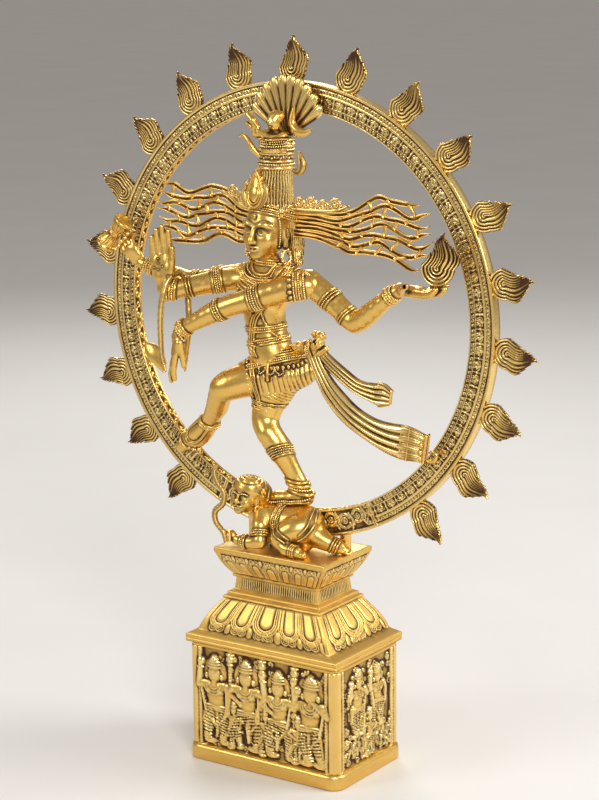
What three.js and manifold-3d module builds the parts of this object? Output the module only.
// A dancing god in a ring of flames, on a two-part pedestal, cast in brass.
// Millimetres, +Z up, +X to the viewer's right, -Y towards the viewer.
// The origin is the middle of the pedestal's foot, on the surface it stands on.
import * as THREE from "three";
import { mergeVertices } from "three/addons/utils/BufferGeometryUtils.js";
import Module from "manifold-3d";

const wasm = await Module();
wasm.setup();

// ---- Driving dimensions ----

const GAP = 0.3; // left between pieces that touch

const box = {
  width: 222,
  depth: 144,
  height: 154,
  wall: 5,
  cornerRadius: 14,
  rimReach: 4, // how far the foot rim stands out of the walls
  rimHeight: 19,
  liftHole: 50, // radius of the casting hole in the top plate
};

// The stepped upper part: how far each level's sides and ends stand in from the box's, and its height.
const plinth = {
  wall: 4,
  levels: [
    { side: -3, end: -2, rise: 0 },
    { side: -3, end: -2, rise: 10 },
    { side: 4, end: 12, rise: 16 },
    { side: 9, end: 20, rise: 37 },
    { side: 24, end: 39, rise: 56 },
    { side: 25, end: 40, rise: 60 },
    { side: 33, end: 49, rise: 68 },
    { side: 35, end: 51, rise: 82 },
    { side: 32, end: 47, rise: 87 },
    { side: 19, end: 31, rise: 114 },
    { side: 18, end: 29, rise: 116 },
    { side: 18, end: 29, rise: 122 },
  ],
};

const boltInset = { end: 24, side: 18 };
const boltRadius = 4;
const boltReach = 22; // length of a bolt in the part that it holds
const bossWall = 5;
const studRadius = 5;
const studSpacing = 52;
const ringScrewRadius = 2.5;

const ring = {
  outerRadius: 280,
  bandWidth: 33,
  thickness: 16,
  frontY: 7,
  lift: 14, // from the pedestal's top to the ring's lowest point
  footInset: 13, // from the ends of the pedestal's top
  footRadius: 7,
};

const flame = { count: 19, step: 15.8, length: 60, width: 38, thickness: 8 };
const palmFlame = { length: 70, width: 40, thickness: 16 };
const fan = { radius: 55, width: 72, thickness: 9, lobes: 8 };
const wing = { thickness: 8, strands: 6, slotWidth: 4.5 };

// The figure's joints are drawn for a ring of this radius, and grow and shrink with the ring.
const drawnInRing = 280;

// ---- Places that follow from them ----

const boxTop = box.height;
const plinthFoot = boxTop + GAP;
const plinthTop = plinthFoot + plinth.levels.at(-1).rise;
const ringMiddle = plinthTop + ring.lift + ring.outerRadius;
const ringInner = ring.outerRadius - ring.bandWidth;
const ringY = ring.frontY + ring.thickness / 2;
const scale = ring.outerRadius / drawnInRing;

// ---- Solids ----

// A closed three.js geometry as a solid that can be joined and cut.
function solid(geometry) {
  const bare = geometry.index ? geometry.toNonIndexed() : geometry.clone();
  bare.deleteAttribute("normal");
  bare.deleteAttribute("uv");
  const merged = mergeVertices(bare, 1e-4);
  const corners = merged.index.array;
  const triVerts = [];
  for (let i = 0; i < corners.length; i += 3) {
    const [a, b, c] = corners.slice(i, i + 3);
    if (a !== b && b !== c && c !== a) triVerts.push(a, b, c);
  }
  return new wasm.Manifold(
    new wasm.Mesh({
      numProp: 3,
      vertProperties: new Float32Array(merged.attributes.position.array),
      triVerts: new Uint32Array(triVerts),
    }),
  );
}

const joined = (solids) => solids.reduce((a, b) => a.add(b));
const cut = (base, cutters) => cutters.reduce((a, b) => a.subtract(b), base);

// An eight-sided bar with pointed ends from one [x, y, z, radius] to the next.
function bar([ax, ay, az, ar], [bx, by, bz, br], grow) {
  const from = new THREE.Vector3(ax, ay, az);
  const to = new THREE.Vector3(bx, by, bz);
  const length = from.distanceTo(to);
  const [foot, head] = [ar + grow, br + grow];
  const profile = [[0, -foot * 0.8], [foot, 0], [head, length], [0, length + head * 0.8]];
  const geometry = new THREE.LatheGeometry(profile.map((p) => new THREE.Vector2(...p)), 8);
  const aim = new THREE.Quaternion().setFromUnitVectors(
    new THREE.Vector3(0, 1, 0), to.sub(from).normalize());
  geometry.applyQuaternion(aim).translate(ax, ay, az);
  return solid(geometry);
}

// Bars end to end through a list of [x, y, z, radius].
function limb(points, grow = 0) {
  return joined(points.slice(1).map((p, i) => bar(points[i], p, grow)));
}

// An egg shape with its own radius along each axis.
function egg([x, y, z], [rx, ry, rz], grow = 0) {
  const geometry = new THREE.SphereGeometry(1, 10, 7);
  geometry.scale(rx + grow, ry + grow, rz + grow).translate(x, y, z);
  return solid(geometry);
}

// A flat outline in the XZ plane, thick along Y and centred on y.
function plate(outline, y, thickness) {
  const shape = new THREE.Shape(outline);
  const geometry = new THREE.ExtrudeGeometry(shape, { depth: thickness, bevelEnabled: false });
  geometry.rotateX(Math.PI / 2).translate(0, y + thickness / 2, 0);
  return solid(geometry);
}

// A round tube along a smooth curve through the points.
function tube(points, radius, steps, grow = 0) {
  const section = new THREE.Shape().absarc(0, 0, radius + grow, 0, 2 * Math.PI);
  const curve = new THREE.CatmullRomCurve3(points.map((p) => new THREE.Vector3(...p)));
  return solid(new THREE.ExtrudeGeometry(section, {
    extrudePath: curve, steps, curveSegments: 4, bevelEnabled: false }));
}

// An upright cylinder; six sides make a nut or a bolt head.
function post(x, y, low, high, radius, sides = 16) {
  const geometry = new THREE.CylinderGeometry(radius, radius, high - low, sides);
  geometry.rotateX(Math.PI / 2).translate(x, y, (low + high) / 2);
  return solid(geometry);
}

// An upright slab with rounded corners.
function slab(width, depth, low, high, radius) {
  const w = width / 2;
  const d = depth / 2;
  const shape = new THREE.Shape();
  shape.moveTo(-w + radius, -d);
  shape.absarc(w - radius, -d + radius, radius, -Math.PI / 2, 0);
  shape.absarc(w - radius, d - radius, radius, 0, Math.PI / 2);
  shape.absarc(-w + radius, d - radius, radius, Math.PI / 2, Math.PI);
  shape.absarc(-w + radius, -d + radius, radius, Math.PI, Math.PI * 1.5);
  const geometry = new THREE.ExtrudeGeometry(shape, {
    depth: high - low, bevelEnabled: false, curveSegments: 4 });
  return solid(geometry.translate(0, 0, low));
}

// A stack of rectangular levels, each {width, depth, z}, joined by sloping faces.
function stack(levels) {
  const layers = levels.length - 1;
  const geometry = new THREE.BoxGeometry(1, 1, 1, 1, 1, layers);
  const place = geometry.attributes.position;
  for (let i = 0; i < place.count; i++) {
    const level = levels[Math.round((place.getZ(i) + 0.5) * layers)];
    place.setXYZ(i, place.getX(i) * level.width, place.getY(i) * level.depth, level.z);
  }
  return solid(geometry);
}

// The outline of an upright flame or leaf with its foot at the origin, pointing along +Y.
function leaf(length, width) {
  const outline = new THREE.Shape();
  outline.moveTo(width * 0.16, 0);
  outline.bezierCurveTo(width * 0.55, length * 0.1, width * 0.62, length * 0.55, 0, length);
  outline.bezierCurveTo(-width * 0.62, length * 0.55, -width * 0.55, length * 0.1, -width * 0.16, 0);
  return outline.getPoints(5).slice(0, -1);
}

// ---- Pedestal ----

const boltPlaces = [-1, 1].flatMap((sx) => [-1, 1].map((sy) => [
  sx * (box.width / 2 - boltInset.end),
  sy * (box.depth / 2 - boltInset.side),
]));
const topHalfWidth = box.width / 2 - plinth.levels.at(-1).end;
const ringFeet = [-1, 1].map((side) => [side * (topHalfWidth - ring.footInset), ringY]);
const studs = [-1, 1].map((side) => [side * studSpacing / 2, -studSpacing / 4]);

function makeBox() {
  const outside = slab(box.width, box.depth, 0, boxTop, box.cornerRadius);
  const rim = slab(box.width + 2 * box.rimReach, box.depth + 2 * box.rimReach, 0,
    box.rimHeight, box.cornerRadius + box.rimReach);
  const inside = slab(box.width - 2 * box.wall, box.depth - 2 * box.wall, -1,
    boxTop - box.wall, box.cornerRadius - box.wall);
  const holes = boltPlaces.map(([x, y]) =>
    post(x, y, boxTop - box.wall - 1, boxTop + 1, boltRadius + GAP));
  holes.push(post(0, 0, boxTop - box.wall - 1, boxTop + 1, box.liftHole, 24));
  return cut(outside.add(rim), [inside, ...holes]);
}

const plinthLevels = (inset) => plinth.levels.map(({ side, end, rise }) => ({
  width: box.width - 2 * end - 2 * inset,
  depth: box.depth - 2 * side - 2 * inset,
  z: plinthFoot + rise,
}));

function makePlinth() {
  const hollow = plinthLevels(plinth.wall);
  hollow[0].z -= 1;
  hollow.at(-1).z -= plinth.wall;
  hollow.at(-2).z -= plinth.wall;
  const bossTop = plinthFoot + boltReach + bossWall;
  const bosses = boltPlaces.map(([x, y]) =>
    post(x, y, plinthFoot, bossTop, boltRadius + bossWall));
  const shell = cut(stack(plinthLevels(0)), [stack(hollow)]);
  const trimmed = bosses.map((boss) => boss.intersect(stack(plinthLevels(plinth.wall / 2))));
  const holes = boltPlaces.map(([x, y]) =>
    post(x, y, plinthFoot - 1, plinthFoot + boltReach + GAP, boltRadius + GAP));
  const top = [...studs.map((p) => [p, studRadius]), ...ringFeet.map((p) => [p, ringScrewRadius])];
  for (const [[x, y], radius] of top)
    holes.push(post(x, y, plinthTop - plinth.wall - 2, plinthTop + 1, radius + GAP));
  return cut(joined([shell, ...trimmed]), holes);
}

// A bolt put in from inside the box, its hexagon head against the underside of the top plate.
function makeBolt([x, y]) {
  const seat = boxTop - box.wall - GAP;
  const head = post(x, y, seat - 1.4 * boltRadius, seat, 1.9 * boltRadius, 6);
  return head.add(post(x, y, seat - 1, plinthFoot + boltReach, boltRadius));
}

// ---- Ring of flames ----

function band(grow = 0) {
  const [low, high] = [ringInner - grow, ring.outerRadius + grow];
  const half = ring.thickness / 2 + grow;
  const profile = [[low, -half], [high, -half], [high, half], [low, half], [low, -half]];
  const geometry = new THREE.LatheGeometry(profile.map((p) => new THREE.Vector2(...p)), 60);
  return solid(geometry.translate(0, ringY, ringMiddle));
}

// One flame, standing on the ring's rim at an angle from the top.
function makeFlame(index) {
  const turn = (index - (flame.count - 1) / 2) * flame.step;
  const outline = leaf(flame.length, flame.width);
  const foot = 4; // lets the flame's foot reach into the rim, where the rim cuts it to fit
  const shape = new THREE.ExtrudeGeometry(new THREE.Shape(outline), {
    depth: flame.thickness, bevelEnabled: false });
  shape.translate(0, ring.outerRadius - foot, -flame.thickness / 2);
  shape.rotateX(Math.PI / 2).rotateY(THREE.MathUtils.degToRad(turn));
  shape.translate(0, ringY, ringMiddle);
  return cut(solid(shape), [band(GAP)]);
}

// A short foot between the pedestal's top and the ring, held by a screw from below.
function makeRingFoot([x, y]) {
  const top = ringMiddle - Math.sqrt(ring.outerRadius ** 2 - x ** 2) + ring.bandWidth / 3;
  const foot = post(x, y, plinthTop + GAP, top, ring.footRadius);
  const hole = post(x, y, plinthTop - 1, plinthTop + 8, ringScrewRadius + GAP);
  return cut(foot, [band(GAP), hole]);
}

function makeScrew([x, y], radius, top) {
  const seat = plinthTop - plinth.wall - GAP;
  return post(x, y, seat - 2 * radius, seat, 1.9 * radius, 6).add(post(x, y, seat - 1, top, radius));
}

// ---- Figure ----

// A joint of the figure: x and y from the middle, z up from the pedestal's top, and a radius.
const joint = (x, y, z, r) => [x * scale, y * scale, plinthTop + z * scale, r * scale];
const joints = (list) => list.map((p) => joint(...p));
const place = (x, y, z) => joint(x, y, z, 0).slice(0, 3);
const radii = (...list) => list.map((r) => r * scale);

const torso = (grow) => joined([
  limb(joints([[-33, -3, 254, 22], [-37, -5, 284, 24], [-37, -6, 314, 30]]), grow),
  limb(joints([[-76, -2, 334, 16], [-56, -3, 338, 20], [16, -3, 338, 20], [36, -2, 335, 16]]), grow),
  limb(joints([[-30, -5, 338, 14], [-26, -6, 366, 12]]), grow),
]);
const waistCloth = (grow) => joined([
  limb(joints([[-27, -1, 244, 26], [-14, 0, 226, 29], [-42, -16, 214, 26]]), grow),
  limb(joints([[-14, 0, 222, 29], [-28, -6, 186, 20]]), grow),
]);
const standingLeg = (grow) => joined([
  limb(joints([[-27, -6, 186, 18], [-26, -17, 150, 15], [-8, -12, 122, 13], [13, -2, 84, 9]]), grow),
  limb(joints([[13, -2, 84, 9], [24, 0, 66, 10], [-20, -6, 58, 8], [-48, -9, 53, 6]]), grow),
]);
const raisedLeg = (grow) => joined([
  limb(joints([[-44, -17, 213, 20], [-76, -38, 201, 16], [-92, -28, 171, 12], [-117, -18, 144, 9]]), grow),
  limb(joints([[-117, -18, 144, 9], [-106, -12, 150, 9], [-150, -8, 118, 8], [-182, -4, 98, 7]]), grow),
]);
const drumArm = (grow) => joined([
  limb(joints([[-76, -2, 334, 13], [-150, -2, 322, 11], [-215, -12, 339, 7]]), grow),
  limb(joints([[-215, -12, 339, 7], [-232, -14, 352, 9], [-246, -30, 362, 5]]), grow),
]);
const blessingArm = (grow) => joined([
  limb(joints([[-76, -8, 330, 13], [-112, -36, 324, 11], [-149, -52, 318, 7]]), grow),
  limb(joints([[-149, -52, 318, 7], [-154, -56, 345, 10], [-153, -56, 366, 9], [-153, -56, 397, 5]]), grow),
]);
const crossingArm = (grow) => joined([
  limb(joints([[28, -16, 330, 14], [-55, -48, 307, 11], [-123, -60, 270, 7]]), grow),
  limb(joints([[-123, -60, 270, 7], [-131, -60, 250, 9], [-138, -59, 228, 7], [-139, -58, 206, 4]]), grow),
]);
const flameArm = (grow) => joined([
  limb(joints([[34, -2, 334, 13], [94, 0, 292, 12], [165, -12, 340, 8]]), grow),
  limb(joints([[165, -12, 340, 8], [196, -16, 336, 9], [226, -19, 342, 8], [244, -20, 354, 5]]), grow),
]);
const head = (grow) => egg(place(-23, -7, 396), radii(25, 28, 33), grow);
const crown = (grow) => joined([
  limb(joints([[-19, -3, 426, 25], [-17, -3, 448, 23], [-14, -4, 486, 19], [-12, -4, 512, 17]]), grow),
]);
const riverBust = (grow) => joined([
  limb(joints([[-12, -26, 504, 9], [-8, -25, 518, 9], [-6, -24, 536, 9]]), grow),
]);
const waistKnot = (grow) => limb(joints([[16, 2, 252, 9], [32, 4, 262, 8], [34, 2, 246, 8]]), grow);
const dwarfBody = (grow) => joined([
  egg(place(-46, -28, 60), radii(19, 19, 20), grow),
  limb(joints([[-42, -20, 40, 13], [-36, -18, 30, 20], [0, -12, 28, 19], [22, -8, 30, 21]]), grow),
  limb(joints([[-26, -32, 38, 10], [-18, -45, 14, 8], [-56, -49, 15, 7]]), grow),
  limb(joints([[26, -20, 34, 15], [6, -37, 20, 12], [18, -41, 10, 8], [42, -42, 9, 7]]), grow),
  limb(joints([[26, -6, 26, 17], [50, -8, 18, 11], [68, -2, 10, 7], [78, 0, 8, 6]]), grow),
]);

// The upright drum, waisted in the middle.
function makeDrum() {
  const [radius, length] = radii(17, 44);
  const profile = [[0, 0], [1, 0], [0.45, 0.5], [1, 1], [0, 1]].map(([r, z]) =>
    new THREE.Vector2(r * radius, (z - 0.5) * length));
  const geometry = new THREE.LatheGeometry(profile, 14);
  geometry.rotateZ(0.35).rotateX(Math.PI / 2).rotateY(-0.9);
  return solid(geometry.translate(...place(-252, -24, 378)));
}

// A wing of hair: a flat outline of flowing locks with long slots between them.
function makeWing(inner, outer, lowInner, highInner, lowOuter, highOuter, y) {
  const line = (t) => {
    const x = inner + (outer - inner) * t;
    const wave = 3 * Math.sin(3 * Math.PI * t);
    const low = lowInner + (lowOuter - lowInner) * t + wave - 10 * Math.sin(Math.PI * t);
    const high = highInner + (highOuter - highInner) * t + wave + 8 * Math.sin(Math.PI * t);
    return (share) => place(x, 0, low + (high - low) * share);
  };
  const point = (t, share) => {
    const [x, , z] = line(t)(share);
    return new THREE.Vector2(x, z);
  };
  const steps = [...Array(9).keys()].map((i) => i / 8);
  const bottom = steps.map((t) => point(t, 0));
  const top = steps.map((t) => point(t, 1)).reverse();
  const slots = [...Array(wing.strands - 1).keys()].map((i) => {
    const share = (i + 1) / wing.strands;
    const half = wing.slotWidth / 2;
    const run = [0.18, 0.4, 0.62, 0.84].map((t) => point(t, share));
    return [...run.map((p) => new THREE.Vector2(p.x, p.y - half)),
      ...run.reverse().map((p) => new THREE.Vector2(p.x, p.y + half))];
  });
  const whole = plate([...bottom, ...top], y * scale, wing.thickness);
  return cut(whole, slots.map((slot) => plate(slot, y * scale, wing.thickness + 2)));
}

// The fan of feathers on the crown, with a lobe for each feather.
function makeFan() {
  const points = [new THREE.Vector2(8, -6), new THREE.Vector2(-8, -6)];
  const start = -0.62 * Math.PI;
  for (let i = 0; i <= 2 * fan.lobes; i++) {
    const angle = start + (i / (2 * fan.lobes)) * -2 * start;
    const reach = i % 2 ? 1 : 0.88;
    points.push(new THREE.Vector2(
      Math.sin(angle) * reach * fan.width / 2, Math.cos(angle) * reach * fan.radius));
  }
  const [x, y, z] = place(2, -3, 530);
  return plate(points.map((p) => new THREE.Vector2(x + p.x * scale, z + p.y * scale)),
    y, fan.thickness);
}

function makeCrescent() {
  const moon = new THREE.Shape();
  moon.absarc(0, 0, 13 * scale, Math.PI * 1.05, Math.PI * 1.95);
  moon.absarc(0, 5 * scale, 12 * scale, Math.PI * 1.85, Math.PI * 1.15, true);
  const [x, y, z] = place(22, -12, 528);
  return plate(moon.getPoints(6).map((p) => new THREE.Vector2(x + p.x, z + p.y)), y, 7);
}

// A leaf that stands on a place of the figure, thick along Y.
function standingLeaf([x, y, z], { length, width, thickness }) {
  const outline = leaf(length * scale, width * scale);
  return plate(outline.map((p) => new THREE.Vector2(x + p.x, z + p.y)), y, thickness);
}

const armSnake = () => tube([[-133, -38, 222], [-127, -37, 262], [-129, -34, 296], [-136, -33, 326],
  [-139, -47, 336], [-143, -64, 322], [-147, -67, 298], [-156, -64, 268], [-168, -62, 246],
  [-180, -60, 236]].map((p) => place(...p)), 4 * scale, 20);
const dwarfSnake = () => tube([[-64, -58, 16], [-74, -57, 40], [-66, -56, 62], [-78, -55, 82],
  [-74, -54, 100]].map((p) => place(...p)), 4 * scale, 14);
const upperSash = () => limb(joints([[36, 3, 256, 7], [66, 2, 246, 6], [102, 0, 224, 7], [138, -2, 200, 8]]));
const lowerSash = () => limb(joints([[34, 0, 244, 7], [58, -2, 214, 7], [100, -4, 178, 9],
  [150, -6, 156, 10], [190, -6, 148, 12], [204, -6, 150, 12]]));

// ---- Assembly ----

const brass = { color: 0xc9962e, roughness: 0.32, metalness: 1 };
const darkBrass = { color: 0x8a5a1c, roughness: 0.45, metalness: 1 };
const steel = { color: 0x8f8f8c, roughness: 0.4, metalness: 1 };

const statue = new THREE.Group();

function addMesh(name, part, finish = brass) {
  const { vertProperties, triVerts } = part.getMesh();
  const geometry = new THREE.BufferGeometry();
  geometry.setAttribute("position", new THREE.BufferAttribute(vertProperties, 3));
  geometry.setIndex(new THREE.BufferAttribute(triVerts, 1));
  geometry.computeVertexNormals();
  const piece = new THREE.Mesh(geometry, new THREE.MeshStandardMaterial(finish));
  piece.name = name;
  statue.add(piece);
}

addMesh("pedestal_box", makeBox(), darkBrass);
addMesh("lotus_plinth", makePlinth());
boltPlaces.forEach((p, i) => addMesh(`plinth_bolt_${i + 1}`, makeBolt(p), steel));
addMesh("aureole_ring", band());
ringFeet.forEach((p, i) => addMesh(`ring_foot_${i + 1}`, makeRingFoot(p)));
ringFeet.forEach((p, i) =>
  addMesh(`ring_screw_${i + 1}`, makeScrew(p, ringScrewRadius, plinthTop + 7), steel));
for (let i = 0; i < flame.count; i++)
  addMesh(`flame_${String(i + 1).padStart(2, "0")}`, makeFlame(i));

const studTop = plinthTop + 12;
const studHoles = studs.map(([x, y]) => post(x, y, plinthTop - 1, studTop + GAP, studRadius + GAP));
studs.forEach((p, i) => addMesh(`figure_stud_${i + 1}`, makeScrew(p, studRadius, studTop), steel));

// Each of the figure's castings, with the neighbours that it is cut to fit.
const tableTop = slab(box.width, box.depth, plinthTop - 60, plinthTop + GAP, box.cornerRadius);
const g = GAP;
addMesh("dwarf", cut(dwarfBody(0), [tableTop, ...studHoles, band(g)]));
addMesh("standing_leg", cut(standingLeg(0), [dwarfBody(g), waistCloth(g), band(g)]));
addMesh("waist_cloth", cut(waistCloth(0), [torso(g)]));
addMesh("torso", torso(0));
addMesh("raised_leg", cut(raisedLeg(0), [waistCloth(g), band(g)]));
addMesh("drum_arm", cut(drumArm(0), [torso(g), band(g)]));
addMesh("drum", cut(makeDrum(), [drumArm(g), band(g)]));
addMesh("blessing_arm", cut(blessingArm(0), [torso(g), drumArm(g)]));
addMesh("crossing_arm", cut(crossingArm(0), [torso(g)]));
addMesh("flame_arm", cut(flameArm(0), [torso(g), crossingArm(g)]));
addMesh("head", cut(head(0), [torso(g)]));
addMesh("crown", cut(crown(0), [head(g)]));
addMesh("feather_fan", cut(makeFan(), [crown(g)]));
addMesh("river_bust", cut(riverBust(0), [crown(g)]));
addMesh("crescent_moon", cut(makeCrescent(), [crown(g), riverBust(g)]));
addMesh("hair_wing_left", cut(makeWing(-44, -212, 366, 420, 372, 434, 2.4), [head(g), crown(g)]));
addMesh("hair_wing_right", cut(makeWing(-4, 204, 372, 422, 366, 432, 2.4), [head(g), crown(g)]));
addMesh("waist_knot", cut(waistKnot(0), [waistCloth(g), torso(g)]));
addMesh("sash_upper", cut(upperSash(), [waistKnot(g), waistCloth(g)]));
addMesh("sash_lower", cut(lowerSash(), [waistKnot(g), waistCloth(g), band(g)]));
addMesh("arm_snake", cut(armSnake(), [blessingArm(g), crossingArm(g)]));
addMesh("dwarf_snake", cut(dwarfSnake(), [dwarfBody(g)]));
addMesh("palm_flame", cut(standingLeaf(place(222, -18, 350), palmFlame), [flameArm(g), band(g)]));

export default statue;
